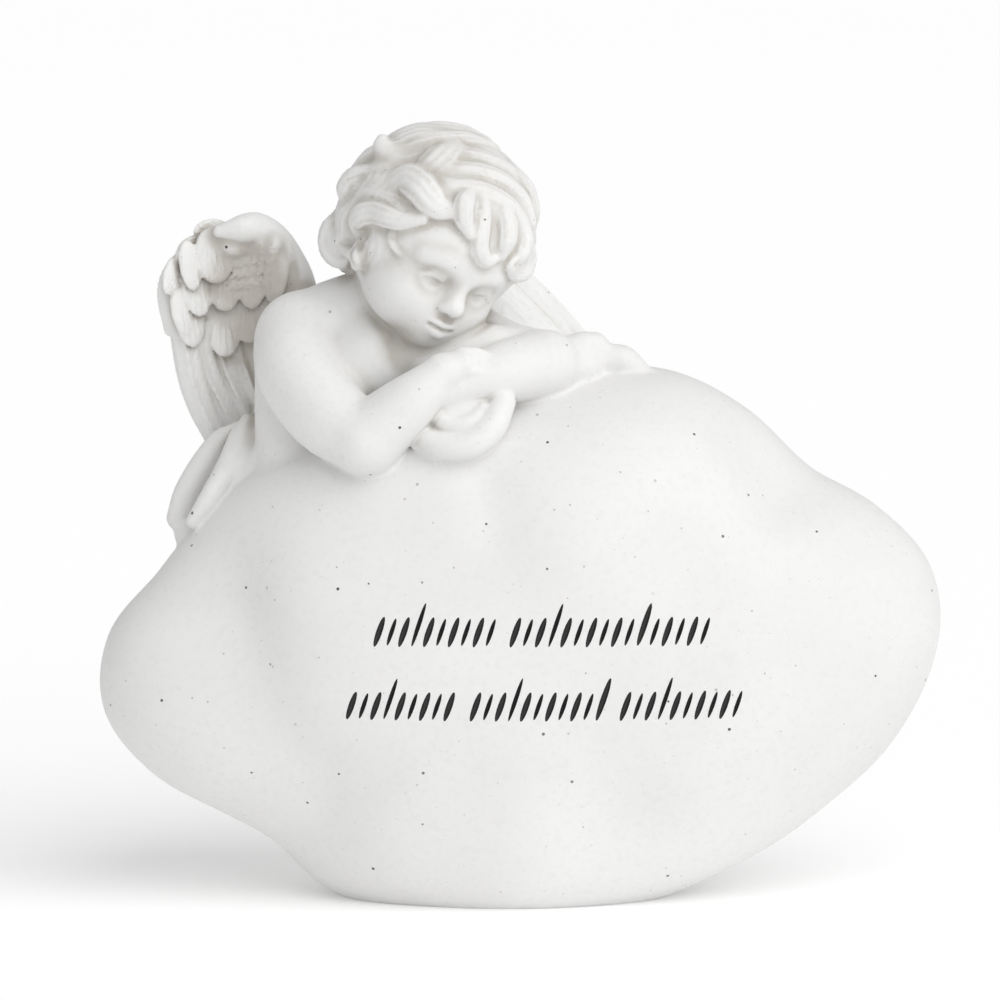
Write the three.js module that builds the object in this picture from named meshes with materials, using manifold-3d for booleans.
// Cemetery angel: a winged cherub leaning on a boulder, head on crossed arms, cast in one piece
// of white stone-filled resin. Millimetres, +Z up, +X to the viewer's right; the viewer stands at -Y.
// The origin is the middle of the flat foot that the boulder stands on.

import * as THREE from "three";
import { mergeVertices } from "three/addons/utils/BufferGeometryUtils.js";
import Module from "manifold-3d";

const wasm = await Module();
wasm.setup();

const at = (x, y, z) => new THREE.Vector3(x, y, z);
const radians = THREE.MathUtils.degToRad;

// Driving dimensions: the boulder
const BOULDER_MIDDLE = at(0, 0, 44);
const BOULDER_HALF_DEPTH = 31;
// The outline from the middle: degrees anticlockwise from +X as the viewer sees it, and the reach there.
const OUTLINE = [
  [0, 70.3], [10, 69.7], [20, 63.8], [30, 56.8], [45, 54], [60, 51.2], [90, 43], [120, 45.5], [150, 54],
  [170, 61.8], [180, 69], [190, 71.3], [200, 66.8], [211, 58.6], [220, 54.6], [232, 54.2], [250, 51],
  [270, 50], [290, 49.8], [310, 52.7], [330, 58.8], [345, 65.6],
];
const SECTION_FULLNESS = 2.3; // 2 is an ellipse from front to back, more is fuller
// Soft swells and hollows of the boulder: where, how high and how wide.
const SWELLS = [
  { place: at(-52, -17, 56), height: -2.6, spread: 7.5 },
  { place: at(-50, -18, 46), height: -3.2, spread: 8 },
  { place: at(-47, -19, 37), height: -3.2, spread: 8 },
  { place: at(-41, -20, 26), height: -2.9, spread: 8 },
  { place: at(-33, -20, 15), height: -2.2, spread: 8 },
  { place: at(-60, -12, 44), height: 2.2, spread: 8 },
  { place: at(-30, -22, 50), height: 1.2, spread: 10 },
  { place: at(8, -28, 60), height: 0.8, spread: 9 },
  { place: at(16, -25, 15), height: -2.4, spread: 7 },
  { place: at(37, -11, 79), height: -1.4, spread: 6 },
  { place: at(42, -13, 71), height: -2.2, spread: 6.5 },
  { place: at(47, -16, 61), height: -2.2, spread: 7.5 },
  { place: at(57, -14, 46), height: 1.2, spread: 9 },
  { place: at(44, 18, 60), height: -3, spread: 10 },
  { place: at(-44, 18, 36), height: -3.5, spread: 10 },
  { place: at(10, 28, 26), height: -2, spread: 10 },
];
const BOULDER_SIDES = 36;
const BOULDER_RINGS = 18;
const FOOT_CUT = { across: 200, deep: 100, tall: 20 }; // the block of air below the flat foot

// Driving dimensions: the inscription's strokes
const STROKE = { width: 0.8, depth: 0.55, slant: 18, pitch: 9, height: 5.2, tall: 7.6, proud: 3 };
const TALL_STROKE_SHARE = 0.6; // one stroke this far along its group is tall, and so is the first
// Each row: the strokes' lower end on the boulder and the start and end of each group along X.
const INSCRIPTION_ROWS = [
  { foot: 45.6, groups: [[-23.2, -5], [-1, 30]] },
  { foot: 33.3, groups: [[-27.8, -11.8], [-7.5, 13], [17, 35.4]] },
];

// Driving dimensions: body, arms and hands
const SHOULDER_RIGHT = at(-36.8, -3, 94.6);
const ELBOW_RIGHT = at(-25.5, -20.5, 78.8);
const WRIST_RIGHT = at(-13, -21, 90);
const SHOULDER_LEFT = at(-11, 3, 95);
const ELBOW_LEFT = at(4, -9.5, 90.2);
const WRIST_LEFT = at(-13, -19.5, 86.8);
const CHEST = { middle: at(-28.5, 1.5, 91.5), sizes: [10.8, 9.4, 10.4] };
const SPINE = {
  path: [at(-36, 16, 66), at(-35.5, 11, 76), at(-33, 6, 84), at(-28.5, 2, 91)],
  width: [12, 10.8, 10.2, 10],
};
const FLANK = { path: [at(-37.4, 1, 90), at(-37.2, -2, 80), at(-36, -4, 68)], width: [7.2, 7.4, 8] };
const NECK = { path: [at(-27, 0, 96), at(-19, -4, 104)], width: [7.4, 6] };
const YOKE = { path: [SHOULDER_RIGHT, at(-24, 2, 95.5), SHOULDER_LEFT], width: [6.8, 7.6, 6.2] };
const UPPER_ARM_RIGHT = {
  path: [SHOULDER_RIGHT, at(-36.8, -9, 89.2), at(-32, -16, 82.6), ELBOW_RIGHT],
  width: [7.3, 7.2, 6.7, 5.9],
};
const FOREARM_RIGHT = { path: [ELBOW_RIGHT, at(-18, -21.5, 85.2), WRIST_RIGHT], width: [6, 4.7, 2.9] };
const UPPER_ARM_LEFT = { path: [SHOULDER_LEFT, at(-3, -2, 93), ELBOW_LEFT], width: [6.2, 5.8, 5.5] };
const FOREARM_LEFT = { path: [ELBOW_LEFT, at(-3, -15.5, 89.4), WRIST_LEFT], width: [5.7, 5.2, 3.1] };
const PALM = {
  path: [WRIST_RIGHT, at(-9.6, -20.8, 91.6)],
  width: [2.8, 2.3],
  thick: [2.5, 1.8],
  facing: at(0, -0.8, 0.6),
};
const TUCKED_HAND = { path: [WRIST_LEFT, at(-19, -20, 85.4)], width: [2.9, 2.6], thick: 2.1 };
const FINGERS = {
  count: 4,
  first: at(-10, -20.2, 93.1),
  aim: at(0.96, 0.24, -0.1),
  stack: at(0.08, -0.42, -0.9).multiplyScalar(1.15),
  length: 5,
  bend: 0.55, // how far along the joint lies
  arch: 0.3,
  width: [0.95, 0.9, 0.7],
};

// Driving dimensions: head and hair
const HEAD = { middle: at(-14.8, -7, 110), yaw: 28, pitch: 22, roll: 20, sizes: [13.2, 14.2, 14.2] };
// The forms of the face: their place to the head's left, forward and up from its middle, and half sizes.
const JAW = { place: [0, 3.2, -7], sizes: [9.8, 9.5, 8.2] };
const FACE_MIDDLE = {
  chin: { place: [0, 10.4, -12.6], sizes: [3.4, 3, 2.8] },
  noseTip: { place: [0, 14.2, -5], sizes: [1.6, 2, 1.6] },
  noseBridge: { place: [0, 13.2, -2], sizes: [1.2, 1.7, 3] },
  upperLip: { place: [0, 13, -8.6], sizes: [2.8, 1.4, 0.9] },
  lowerLip: { place: [0, 12.8, -10], sizes: [2.3, 1.4, 0.9] },
};
const FACE_PAIRS = {
  cheek: { place: [5.6, 7.8, -6.6], sizes: [4.6, 4.4, 4.6] },
  closedEye: { place: [4.8, 11.2, -2.2], sizes: [2.5, 1.5, 1.6] },
};
const CAP = { shift: at(1.1, 2.2, 3.3), across: 15.7, deep: 16.2, tall: 15.9 };
// A lock's half sizes at four stations along it, and how far its middle lifts off the cap.
const LOCK = { stations: [0, 0.35, 0.7, 1], width: [2.2, 3.5, 3.5, 1.6], thick: [1, 1.6, 1.8, 1], lift: 0.7 };
const CROWN_LOCKS = { from: 66, to: 24, start: -154, end: 180, gap: 48, bow: 14 };
const NAPE_LOCKS = { from: 4, to: -36, places: [-110, 110, 190], bow: 9, turn: 10 };
// The locks over the brow, as the viewer sees them: their path, half width and its taper.
const BROW_TAPER = [0.7, 1, 1, 0.6];
const BROW_LOCKS = [
  { width: 2.6, path: [at(-22.6, -17, 121), at(-18.4, -19, 122.6), at(-14.7, -20, 119), at(-11, -21, 116)] },
  { width: 2.2, path: [at(-27, -13, 113), at(-25.4, -15.4, 116), at(-21.4, -18.2, 116), at(-16, -20, 115)] },
  { width: 2.2, path: [at(-8, -20.4, 119.4), at(-9.5, -20.8, 117), at(-8.6, -20.6, 112.6)] },
  { width: 2.2, path: [at(-5.8, -19.6, 118), at(-6.4, -19.4, 113), at(-5, -18.4, 108.4)] },
  { width: 2.4, path: [at(-2.4, -17.6, 117), at(-2, -16.6, 112), at(-2.6, -15.4, 107.4)] },
];
// The full lobes of hair: at the viewer's left, the curl behind the ear, and the mass at the right.
const HAIR_LOBES = [
  { middle: at(-26.4, -4, 118.6), sizes: [4.6, 6.6, 5.2] },
  { middle: at(-29.6, -2.5, 110.6), sizes: [3.8, 5.4, 5] },
  { middle: at(-0.6, -7, 110.5), sizes: [3.4, 7.4, 7] },
];
const QUIFF = {
  path: [at(-20.6, -11, 123.2), at(-22.4, -10, 125.8), at(-23, -8.8, 128)],
  width: [2.8, 2.2, 1.1],
};

// Driving dimensions: wings
const FEATHER = { width: 3.4, thick: 1.5, stations: [0.2, 0.6, 0.97], taper: [0.7, 1, 0.85] };
const CUP = { rise: 5, reach: 33 }; // the wing's tip comes forward by the rise at the reach
const FAN = { start: -14, spread: 88, reach: 17.2, growth: 0.24, droop: 3 }; // degrees and millimetres
const FEATHER_ROWS = [
  { reach: 1, count: 7, width: 1.1, layer: 0 },
  { reach: 0.76, count: 6, width: 1.05, layer: 1.2 },
  { reach: 0.55, count: 5, width: 1, layer: 2.2 },
];
// The thin blades behind the feathers: degrees and distance from the hub, layer and half sizes.
const BLADES = [
  { angle: 40, distance: 9, layer: -0.4, across: 11, long: 10, thick: 2.2 },
  { angle: 58, distance: 18, layer: -1, across: 8, long: 11, thick: 1.6 },
];
const RIM_WIDTH = [4, 3.4, 3.2, 2.4];
const RIGHT_WING = {
  hub: at(-40, 8, 106),
  outward: at(-1, -0.08, 0.05).normalize(),
  downward: at(0.05, 0.08, -1).normalize(),
  front: at(0, -1, 0),
  size: 1,
  rows: 3,
  rim: [at(-34, 5, 97), at(-39.5, 6, 107), at(-44, 5, 111.2), at(-50, 3, 110.6)],
};
const LEFT_WING = {
  hub: at(-12.5, 11.5, 104),
  outward: at(0.36, 0.9, 0.2).normalize(),
  downward: at(0.72, 0.05, -0.69).normalize(),
  front: at(0.64, -0.41, 0.65),
  size: 0.86,
  rows: 2,
  rim: [at(-15, 8, 97), at(-12, 13, 106), at(-9, 18, 109.5), at(-6, 24, 110)],
};

// Driving dimensions: drapery
const TRAILING_FOLDS = [
  {
    path: [at(-47.8, 4, 78.4), at(-51.4, 4.4, 76.6), at(-57.3, 3.2, 68), at(-58.8, 3.8, 61)],
    width: [1.2, 2.2, 2.4, 2],
  },
  {
    path: [at(-46.2, 1.6, 79.9), at(-49.9, -1.6, 73.3), at(-52.9, -2.4, 67.6), at(-56, -0.6, 61.5)],
    width: [1.2, 2.1, 2.1, 1.6],
  },
];
const TRAILING_PANEL = {
  path: [at(-47, 6, 78), at(-50.5, 3, 72), at(-56, 3, 60)],
  width: [3, 4, 3],
  thick: 2.2,
  facing: at(-0.45, -0.84, 0.3),
};
const ROLL = {
  path: [
    at(-16.6, -20.6, 79.8),
    at(-13.4, -22.4, 78),
    at(-8.6, -23, 78.2),
    at(-5, -21.8, 80.8),
    at(-3, -19.5, 84.8),
  ],
  width: [1.8, 2.3, 2.5, 2.5, 2.1],
};
const ROLL_FILLING = { middle: at(-9.6, -19, 82.2), sizes: [5.8, 2.6, 3.8] };
const PUFFS = [
  { middle: at(10.6, -6.6, 91), sizes: [4.6, 4.2, 4.4] },
  { middle: at(17, -4.6, 89), sizes: [4.8, 4.2, 3.4] },
];
// The folds round the hips: one route at two heights.
const HIP_FOLDS = {
  heights: [77, 72],
  route: [at(-45, 6, 0), at(-42, 18, -2), at(-33, 22, -3), at(-22, 16, -1)],
  width: [2.6, 3.6, 3.8, 2.6],
};
// The folds that fall from the hips down the boulder's back, fanning out.
const FALLS = {
  count: 4,
  start: at(-44, 19, 74),
  gap: 7,
  fan: 2,
  heights: [62, 52, 43],
  width: [3, 4.2, 3.8, 2],
  thick: 2.4,
};

const WELD = 1e-4; // corners nearer than this are one corner
const SLIVER = 0.2; // edges shorter than this, left where pieces of the form meet, close up
const RAY_TURNS = 12; // enough for a ray to settle on the boulder's surface
const WHITE_RESIN = { color: 0xe9e8e4, roughness: 0.62, metalness: 0 };

// Shape tools: every piece of the form is a closed three.js geometry, made a solid and joined.

function solidOf(geometry) {
  geometry.deleteAttribute("normal");
  geometry.deleteAttribute("uv");
  const merged = mergeVertices(geometry, WELD);
  const vertProperties = new Float32Array(merged.attributes.position.array);
  const triVerts = new Uint32Array(merged.index.array);
  return new wasm.Manifold(new wasm.Mesh({ numProp: 3, vertProperties, triVerts }));
}

// Moves every corner of a geometry to where place(corner) puts it.
function reshape(geometry, place) {
  const corners = geometry.attributes.position;
  const corner = new THREE.Vector3();
  for (let i = 0; i < corners.count; i++) {
    corner.fromBufferAttribute(corners, i);
    corners.setXYZ(i, ...place(corner.clone()).toArray());
  }
  return geometry;
}

// The value a share of the way along a list of sizes, or the size itself where it is constant.
function along(sizes, share) {
  if (!Array.isArray(sizes)) return sizes;
  const place = share * (sizes.length - 1);
  const before = Math.min(Math.floor(place), sizes.length - 2);
  return THREE.MathUtils.lerp(sizes[before], sizes[before + 1], place - before);
}

// An egg of the given half sizes along three axes, which default to X, Y and Z.
const UPRIGHT = [at(1, 0, 0), at(0, 1, 0), at(0, 0, 1)];
function egg(middle, [a, b, c], { axes = UPRIGHT, sides = 14, rings = 9 } = {}) {
  const form = new THREE.SphereGeometry(1, sides, rings);
  return solidOf(
    reshape(form, (p) =>
      middle
        .clone()
        .addScaledVector(axes[0], p.x * a)
        .addScaledVector(axes[2], p.y * c)
        .addScaledVector(axes[1], -p.z * b),
    ),
  );
}

// A tapering limb, lock, fold or feather along a curve. Its flat side faces the way that facing points.
function limb(path, width, { thick = width, facing = at(0, -1, 0), sides = 8, steps = 5, cap = 2 } = {}) {
  const curve = new THREE.CatmullRomCurve3(path);
  const form = new THREE.CapsuleGeometry(1, 1, cap, sides, steps);
  return solidOf(
    reshape(form, (p) => {
      const share = THREE.MathUtils.clamp(p.y + 0.5, 0, 1);
      const beyond = p.y + 0.5 - share;
      const ahead = curve.getTangent(share);
      const across = ahead.clone().cross(facing).normalize();
      const out = across.clone().cross(ahead);
      const halfWidth = along(width, share);
      const halfThick = along(thick, share);
      return curve
        .getPoint(share)
        .addScaledVector(ahead, beyond * halfThick)
        .addScaledVector(across, p.x * halfWidth)
        .addScaledVector(out, p.z * halfThick);
    }),
  );
}

// The boulder: an outline that swells from front to back, with soft hollows, cut flat below.

// The outline's reach at an angle, on a smooth curve through its points.
function outlineReach(angle) {
  const degrees = THREE.MathUtils.euclideanModulo(THREE.MathUtils.radToDeg(angle), 360);
  const count = OUTLINE.length;
  const first = OUTLINE.findLastIndex(([a]) => a <= degrees);
  const point = (step) => {
    const [a, reach] = OUTLINE[(first + step + count) % count];
    return [a + 360 * Math.floor((first + step) / count), reach];
  };
  const [[a0, r0], [a1, r1], [a2, r2], [a3, r3]] = [-1, 0, 1, 2].map(point);
  const gap = a2 - a1;
  const t = (degrees - a1) / gap;
  const slopeStart = ((r2 - r0) / (a2 - a0)) * gap;
  const slopeEnd = ((r3 - r1) / (a3 - a1)) * gap;
  const bend = 3 * (r2 - r1) - 2 * slopeStart - slopeEnd;
  const twist = 2 * (r1 - r2) + slopeStart + slopeEnd;
  return r1 + t * (slopeStart + t * (bend + t * twist));
}

// The boulder's surface in a given direction from its middle.
function boulderSurface(direction) {
  const inPlane = Math.hypot(direction.x, direction.z) / outlineReach(Math.atan2(direction.z, direction.x));
  const inDepth = Math.abs(direction.y) / BOULDER_HALF_DEPTH;
  const reach = (inPlane ** SECTION_FULLNESS + inDepth ** SECTION_FULLNESS) ** (-1 / SECTION_FULLNESS);
  const surface = direction.clone().multiplyScalar(reach).add(BOULDER_MIDDLE);
  let swell = 0;
  for (const { place, height, spread } of SWELLS) {
    swell += height * Math.exp(-surface.distanceToSquared(place) / (2 * spread ** 2));
  }
  return surface.addScaledVector(direction, swell);
}

function boulder() {
  const form = new THREE.SphereGeometry(1, BOULDER_SIDES, BOULDER_RINGS).rotateX(Math.PI / 2);
  const whole = solidOf(reshape(form, (p) => boulderSurface(p.normalize())));
  const below = new THREE.BoxGeometry(FOOT_CUT.across, FOOT_CUT.deep, FOOT_CUT.tall);
  below.translate(0, 0, -FOOT_CUT.tall / 2);
  return whole.subtract(solidOf(below));
}

// The boulder's front (side -1) or back (side 1) surface at x and z, found by turning the ray from the
// middle until it passes there.
function boulderFace(side, x, z) {
  let target = at(x, side * BOULDER_HALF_DEPTH, z);
  for (let turn = 0; turn < RAY_TURNS; turn++) {
    const surface = boulderSurface(target.clone().sub(BOULDER_MIDDLE).normalize());
    target = at(x, surface.y, z);
  }
  return target;
}

// One slanted stroke, standing through the surface so that it cuts to the engraving's depth.
function stroke(x, z, height) {
  const slant = Math.tan(radians(STROKE.slant));
  const face = boulderFace(-1, x, z + STROKE.height / 2).y;
  const half = STROKE.width / 2;
  const outline = new THREE.Shape()
    .moveTo(x - half, z)
    .lineTo(x + half, z)
    .lineTo(x + half + slant * height, z + height)
    .lineTo(x - half + slant * height, z + height);
  const bar = new THREE.ExtrudeGeometry(outline, { depth: STROKE.proud + STROKE.depth, bevelEnabled: false });
  bar.rotateX(Math.PI / 2).translate(0, face + STROKE.depth, 0);
  return solidOf(bar);
}

function inscription() {
  const strokes = [];
  for (const { foot, groups } of INSCRIPTION_ROWS) {
    for (const [start, end] of groups) {
      const count = Math.round((end - start) / STROKE.pitch);
      for (let i = 0; i <= count; i++) {
        const tall = i === 0 || i === Math.round(count * TALL_STROKE_SHARE);
        strokes.push(stroke(start + (i * (end - start)) / count, foot, tall ? STROKE.tall : STROKE.height));
      }
    }
  }
  return wasm.Manifold.union(strokes);
}

// Body and arms: the trunk rises from behind the boulder and leans over it on crossed arms.

function trunk() {
  return [
    egg(CHEST.middle, CHEST.sizes, { sides: 12, rings: 8 }),
    limb(SPINE.path, SPINE.width, { sides: 10, steps: 4 }),
    limb(FLANK.path, FLANK.width, { sides: 8, steps: 2 }),
    limb(NECK.path, NECK.width, { sides: 8, steps: 1 }),
    limb(YOKE.path, YOKE.width, { sides: 8, steps: 3 }),
  ];
}

function arms() {
  return [
    limb(UPPER_ARM_RIGHT.path, UPPER_ARM_RIGHT.width, { sides: 10 }),
    limb(FOREARM_RIGHT.path, FOREARM_RIGHT.width, { sides: 9, steps: 4 }),
    limb(UPPER_ARM_LEFT.path, UPPER_ARM_LEFT.width, { sides: 8, steps: 3 }),
    limb(FOREARM_LEFT.path, FOREARM_LEFT.width, { sides: 9, steps: 4 }),
  ];
}

// The right hand lies on the left forearm, its fingers one under another; the left is tucked under the right.
function hands() {
  const pieces = [
    limb(PALM.path, PALM.width, { thick: PALM.thick, facing: PALM.facing, steps: 2 }),
    limb(TUCKED_HAND.path, TUCKED_HAND.width, { thick: TUCKED_HAND.thick, sides: 6, steps: 1 }),
  ];
  for (let finger = 0; finger < FINGERS.count; finger++) {
    const root = FINGERS.first.clone().addScaledVector(FINGERS.stack, finger);
    const tip = root.clone().addScaledVector(FINGERS.aim, FINGERS.length);
    const joint = root.clone().lerp(tip, FINGERS.bend).addScaledVector(FINGERS.stack, -FINGERS.arch);
    pieces.push(limb([root, joint, tip], FINGERS.width, { sides: 5, steps: 2, cap: 1 }));
  }
  return pieces;
}

// Head: a skull turned, bowed and tilted, with a child's plain round face and a cap of curls.

const headTurn = new THREE.Euler(radians(HEAD.pitch), radians(HEAD.roll), radians(HEAD.yaw), "ZXY");
const headLeft = at(1, 0, 0).applyEuler(headTurn);
const headForward = at(0, -1, 0).applyEuler(headTurn);
const headUp = at(0, 0, 1).applyEuler(headTurn);
const headAxes = [headLeft, headForward.clone().negate(), headUp];

// A point of the head: millimetres to its left, forward and up from its middle.
const onHead = (left, forward, up) =>
  HEAD.middle
    .clone()
    .addScaledVector(headLeft, left)
    .addScaledVector(headForward, forward)
    .addScaledVector(headUp, up);

function face() {
  const small = { axes: headAxes, sides: 6, rings: 5 };
  const pieces = [
    egg(HEAD.middle, HEAD.sizes, { axes: headAxes, sides: 12, rings: 9 }),
    egg(onHead(...JAW.place), JAW.sizes, { axes: headAxes, sides: 12, rings: 8 }),
  ];
  for (const { place, sizes } of Object.values(FACE_MIDDLE)) {
    pieces.push(egg(onHead(...place), sizes, small));
  }
  for (const { place, sizes } of Object.values(FACE_PAIRS)) {
    const [left, forward, up] = place;
    pieces.push(egg(onHead(left, forward, up), sizes, small));
    pieces.push(egg(onHead(-left, forward, up), sizes, small));
  }
  return pieces;
}

// A point just above the hair cap: degrees round from the face towards the left ear, and up.
function onHair(azimuth, elevation, lift) {
  const level = Math.cos(radians(elevation));
  return onHead(
    (CAP.across + lift) * level * Math.sin(radians(azimuth)),
    (CAP.deep + lift) * level * Math.cos(radians(azimuth)),
    (CAP.tall + lift) * Math.sin(radians(elevation)),
  ).add(CAP.shift);
}

// A lock lying on the cap from one place to another, bowed sideways and rolled up at its end.
function lock(from, to, bow) {
  const share = (s) => from[0] + (to[0] - from[0]) * s + bow * Math.sin(Math.PI * s);
  const rise = (s) => from[1] + (to[1] - from[1]) * s;
  const path = LOCK.stations.map((s) => onHair(share(s), rise(s), LOCK.lift * Math.sin(Math.PI * s)));
  const outward = path[1].clone().add(path[2]).multiplyScalar(0.5).sub(HEAD.middle).normalize();
  return limb(path, LOCK.width, { thick: LOCK.thick, facing: outward, sides: 5, steps: 3, cap: 1 });
}

function hair() {
  const capMiddle = HEAD.middle.clone().add(CAP.shift);
  const cap = egg(capMiddle, [CAP.across, CAP.deep, CAP.tall], { axes: headAxes });
  const quiff = limb(QUIFF.path, QUIFF.width, { sides: 6, steps: 2, cap: 1 });
  const pieces = [cap, quiff];
  for (const { middle, sizes } of HAIR_LOBES) {
    pieces.push(egg(middle, sizes, { sides: 8, rings: 6 }));
  }
  for (let azimuth = CROWN_LOCKS.start; azimuth <= CROWN_LOCKS.end; azimuth += CROWN_LOCKS.gap) {
    const bow = Math.sign(azimuth) * CROWN_LOCKS.bow;
    pieces.push(lock([azimuth, CROWN_LOCKS.from], [azimuth, CROWN_LOCKS.to], bow));
  }
  for (const azimuth of NAPE_LOCKS.places) {
    const from = [azimuth - NAPE_LOCKS.turn, NAPE_LOCKS.from];
    const to = [azimuth + NAPE_LOCKS.turn, NAPE_LOCKS.to];
    pieces.push(lock(from, to, NAPE_LOCKS.bow));
  }
  for (const { path, width } of BROW_LOCKS) {
    const widths = BROW_TAPER.map((taper) => taper * width);
    const facing = path[1].clone().sub(capMiddle).normalize();
    pieces.push(limb(path, widths, { thick: LOCK.thick, facing, sides: 5, steps: 3, cap: 1 }));
  }
  return pieces;
}

// Wings: fans of feathers that spread from a hub behind the shoulder, long ones below, short ones over them.

// One wing: the fan's out and down axes, the side its short feathers lie on, its size, its rows and its
// rolled rim.
function wing({ hub, outward, downward, front, size, rows, rim }) {
  const reachAt = (angle) => size * (FAN.reach + FAN.growth * angle);
  const spot = (angle, distance, layer) =>
    hub
      .clone()
      .addScaledVector(outward, Math.cos(radians(angle)) * distance)
      .addScaledVector(downward, Math.sin(radians(angle)) * distance)
      .addScaledVector(front, layer + CUP.rise * (distance / CUP.reach) ** 2);
  const bladeAxes = [downward.clone().cross(front).normalize(), downward, front];
  const pieces = [limb(rim, RIM_WIDTH, { steps: 4 })];
  for (const { angle, distance, layer, across, long, thick } of BLADES) {
    const sizes = [across * size, long * size, thick];
    pieces.push(egg(spot(angle, distance * size, layer), sizes, { axes: bladeAxes, sides: 10, rings: 6 }));
  }
  for (const { reach, count, width, layer } of FEATHER_ROWS.slice(0, rows)) {
    for (let i = 0; i < count; i++) {
      const angle = FAN.start + (FAN.spread * (i + 0.5)) / count;
      const length = reachAt(angle) * reach;
      const path = FEATHER.stations.map((s) => spot(angle - FAN.droop * s, length * s, layer));
      const widths = FEATHER.taper.map((taper) => taper * width * size * FEATHER.width);
      pieces.push(limb(path, widths, { thick: FEATHER.thick, facing: front, sides: 4, steps: 2, cap: 1 }));
    }
  }
  return pieces;
}

// Drapery: a cloth tied round the hips, two folds trailing off to the left, a roll under the arms,
// two puffs beyond the elbow, and folds that fall down the boulder's back.

function drapery() {
  const { path, width, thick, facing } = TRAILING_PANEL;
  const pieces = [
    limb(path, width, { thick, facing, sides: 7, steps: 2, cap: 1 }),
    limb(ROLL.path, ROLL.width, { sides: 7, steps: 6, cap: 1 }),
    egg(ROLL_FILLING.middle, ROLL_FILLING.sizes, { sides: 8, rings: 6 }),
  ];
  for (const fold of TRAILING_FOLDS) {
    pieces.push(limb(fold.path, fold.width, { sides: 7, steps: 4, cap: 1 }));
  }
  for (const { middle, sizes } of PUFFS) {
    pieces.push(egg(middle, sizes, { sides: 10, rings: 7 }));
  }
  for (const height of HIP_FOLDS.heights) {
    const round = HIP_FOLDS.route.map((p) => p.clone().setZ(p.z + height));
    pieces.push(limb(round, HIP_FOLDS.width, { sides: 6, steps: 4, cap: 1 }));
  }
  const cloth = { thick: FALLS.thick, facing: at(0, 1, 0), sides: 6, steps: 3, cap: 1 };
  for (let fall = 0; fall < FALLS.count; fall++) {
    const top = FALLS.start.clone();
    top.x += FALLS.gap * fall;
    const fan = FALLS.fan * (fall - (FALLS.count - 1) / 2);
    const onBack = FALLS.heights.map((z, row) => boulderFace(1, top.x + fan * (row + 1), z));
    pieces.push(limb([top, ...onBack], FALLS.width, cloth));
  }
  return pieces;
}

function angelOnBoulder() {
  const child = [...trunk(), ...arms(), ...hands(), ...face(), ...hair()];
  const wings = [...wing(RIGHT_WING), ...wing(LEFT_WING)];
  const whole = wasm.Manifold.union([boulder(), ...child, ...wings, ...drapery()]);
  const joined = whole.subtract(inscription()).simplify(SLIVER);
  // Where two folds only just touch, the join can leave a loose crumb, so the statue is the largest body.
  const [solid] = joined.decompose().sort((a, b) => b.volume() - a.volume());
  const mesh = solid.getMesh();
  const geometry = new THREE.BufferGeometry();
  geometry.setAttribute("position", new THREE.BufferAttribute(new Float32Array(mesh.vertProperties), 3));
  geometry.setIndex(new THREE.BufferAttribute(new Uint32Array(mesh.triVerts), 1));
  geometry.computeVertexNormals();
  const statue = new THREE.Mesh(geometry, new THREE.MeshStandardMaterial(WHITE_RESIN));
  statue.name = "angel_on_boulder";
  return statue;
}

const part = new THREE.Group();
part.add(angelOnBoulder());
export default part;
